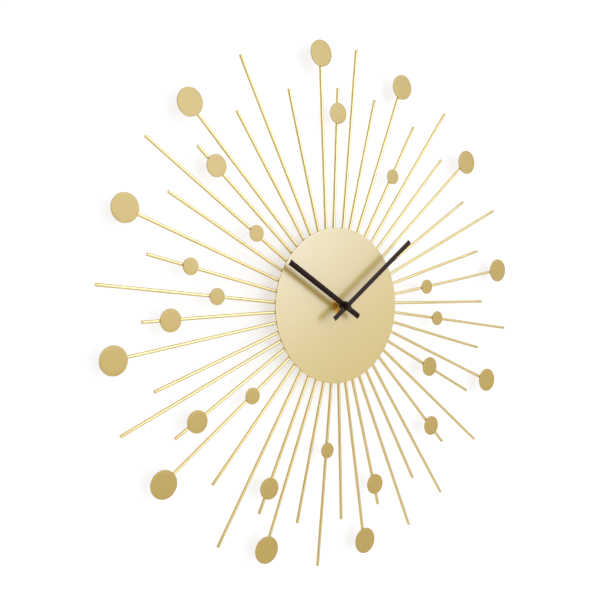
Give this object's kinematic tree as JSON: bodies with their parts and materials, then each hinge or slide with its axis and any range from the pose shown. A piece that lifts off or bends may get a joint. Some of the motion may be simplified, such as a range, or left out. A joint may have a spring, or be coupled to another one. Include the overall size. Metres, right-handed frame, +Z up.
{
  "type": "sunburst wall clock",
  "caption": "Wall clock with a round gold face in front of welded metal rays that carry small discs, two straight dark hands and a battery quartz movement behind.",
  "frame": {"origin": "on the wall, where the hands' axis meets the flat back of the movement case", "axes": "+Z up as the clock hangs, +X to the right seen from the room, +Y into the wall, so the clock faces -Y"},
  "size_m": [0.4975, 0.0345, 0.5],
  "materials": {
    "face_gold": "satin champagne-gold lacquer on sheet steel",
    "rod_gold": "satin gold lacquer on steel rod",
    "disc_gold": "satin gold lacquer on sheet steel",
    "hand_black": "gloss brown-black lacquer",
    "brass": "turned brass",
    "plated_steel": "zinc-plated steel",
    "bright_steel": "bare laminated steel",
    "case_black": "moulded, fine spark-eroded texture",
    "knob_grey": "moulded with a ribbed rim",
    "train_white": "natural acetal",
    "train_amber": "dyed acetal",
    "rubber": "soft black rubber",
    "board_green": "circuit laminate",
    "chip_black": "resin drop",
    "copper": "enamelled copper wire",
    "battery_jacket": "plain printed sleeve, no lettering",
    "magnet_grey": "sintered magnet"
  },
  "bodies": {
    "frame": {"face_plate": "face_gold", "long_rods": "rod_gold", "short_rods": "rod_gold", "large_discs": "disc_gold", "medium_discs": "disc_gold", "small_discs": "disc_gold", "weld_ring": "rod_gold", "wall_hanger": "plated_steel", "case_front": "case_black", "case_back": "case_black", "threaded_bush": "brass", "rubber_washer": "rubber", "brass_washer": "brass", "fixing_nut": "brass", "middle_plate": "train_white", "rear_bridge": "train_white", "circuit_board": "board_green", "clock_chip": "chip_black", "quartz_crystal": "plated_steel", "stator": "bright_steel", "coil_core": "bright_steel", "coil_bobbin": "train_white", "coil_winding": "copper", "battery_cell": "battery_jacket", "battery_positive_cap": "plated_steel", "contact_positive": "plated_steel", "contact_negative": "plated_steel"},
    "minute_arbor": {"cannon_pinion": "brass", "clutch_washer": "bright_steel", "minute_hand": "hand_black", "cap_nut": "hand_black"},
    "hour_arbor": {"hour_wheel": "case_black", "hour_hand_bush": "hand_black", "hour_hand": "hand_black"},
    "motion_arbor": {"motion_wheel": "train_amber", "setting_knob": "knob_grey"},
    "rotor": {"rotor_magnet": "magnet_grey", "rotor_pinion": "train_white"},
    "intermediate": {"intermediate_wheel": "train_amber"},
    "seconds": {"seconds_wheel": "train_white"},
    "third": {"third_wheel": "train_amber"},
    "centre": {"centre_wheel": "train_white"}
  },
  "joints": [
    {"name": "minute_hand_turn", "type": "hinge", "parent": "frame", "child": "minute_arbor", "pos_m": [0, -0.0127, 0], "axis": [0, 1, 0], "continuous": true},
    {"name": "hour_hand_turn", "type": "hinge", "parent": "frame", "child": "hour_arbor", "pos_m": [0, -0.014, 0], "axis": [0, 1, 0], "continuous": true},
    {"name": "setting_knob_turn", "type": "hinge", "parent": "frame", "child": "motion_arbor", "pos_m": [-0.012, -0.008, 0], "axis": [0, 1, 0], "continuous": true},
    {"name": "rotor_turn", "type": "hinge", "parent": "frame", "child": "rotor", "pos_m": [-0.01101, -0.0089, 0.01257], "axis": [0, 1, 0], "continuous": true},
    {"name": "intermediate_turn", "type": "hinge", "parent": "frame", "child": "intermediate", "pos_m": [-0.00359, -0.0063, 0.00987], "axis": [0, 1, 0], "continuous": true},
    {"name": "seconds_wheel_turn", "type": "hinge", "parent": "frame", "child": "seconds", "pos_m": [0, -0.0077, 0], "axis": [0, 1, 0], "continuous": true},
    {"name": "third_wheel_turn", "type": "hinge", "parent": "frame", "child": "third", "pos_m": [0.00958, -0.009, 0.00349], "axis": [0, 1, 0], "continuous": true},
    {"name": "centre_wheel_turn", "type": "hinge", "parent": "frame", "child": "centre", "pos_m": [0, -0.0103, 0], "axis": [0, 1, 0], "continuous": true}
  ],
  "couplings": [
    {"joint": "hour_hand_turn", "follows": "minute_hand_turn", "ratio": 0.083333},
    {"joint": "setting_knob_turn", "follows": "minute_hand_turn", "ratio": -0.33333},
    {"joint": "intermediate_turn", "follows": "rotor_turn", "ratio": -0.2},
    {"joint": "seconds_wheel_turn", "follows": "rotor_turn", "ratio": 0.033333},
    {"joint": "third_wheel_turn", "follows": "rotor_turn", "ratio": -0.0044444},
    {"joint": "centre_wheel_turn", "follows": "rotor_turn", "ratio": 0.00055556}
  ]
}
